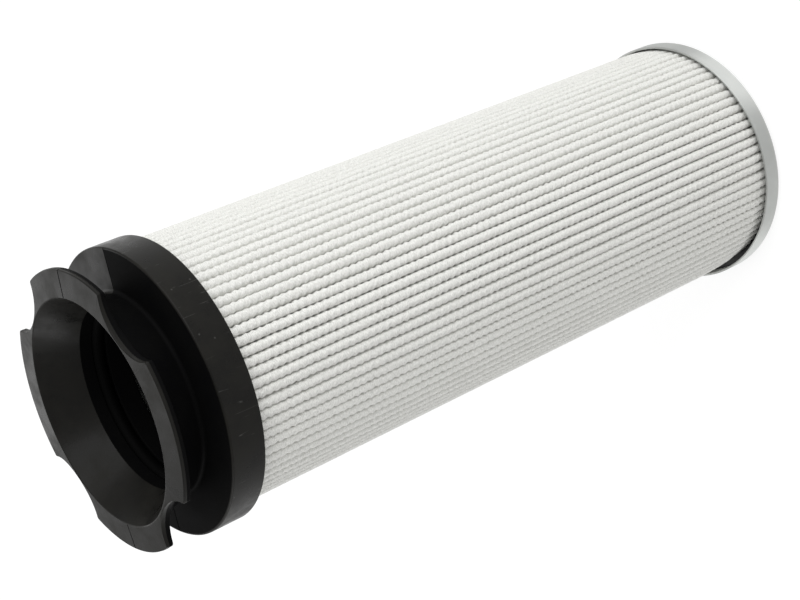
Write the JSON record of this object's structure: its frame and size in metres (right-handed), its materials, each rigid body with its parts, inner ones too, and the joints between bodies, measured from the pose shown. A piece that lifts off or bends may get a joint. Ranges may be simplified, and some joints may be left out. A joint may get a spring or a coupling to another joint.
{
  "type": "pleated filter element",
  "caption": "Tall round filter element: folded white sheet between a closed steel cap and a black moulded cap with a funnel mouth and lobed collar.",
  "frame": {"origin": "centre of the closed steel cap's flat end, which the element stands on", "axes": "+Z along the element's axis, up to the moulded mouth; the collar's four lobes lie on X and Y"},
  "size_m": [0.09, 0.09, 0.2523],
  "materials": {
    "galvanised_steel": "satin zinc coat",
    "tube_steel": "dull zinc coat",
    "filter_sheet": "matt white fleece over a fine net",
    "moulded_black": "satin moulded",
    "seal_rubber": "matt",
    "adhesive": "cast, smooth"
  },
  "bodies": {
    "root": {"base_cap": "galvanised_steel", "base_glue": "adhesive", "support_tube": "tube_steel", "pleat_pack": "filter_sheet", "mouth_glue": "adhesive", "mouth_cap": "moulded_black", "seal_ring": "seal_rubber"}
  },
  "joints": []
}
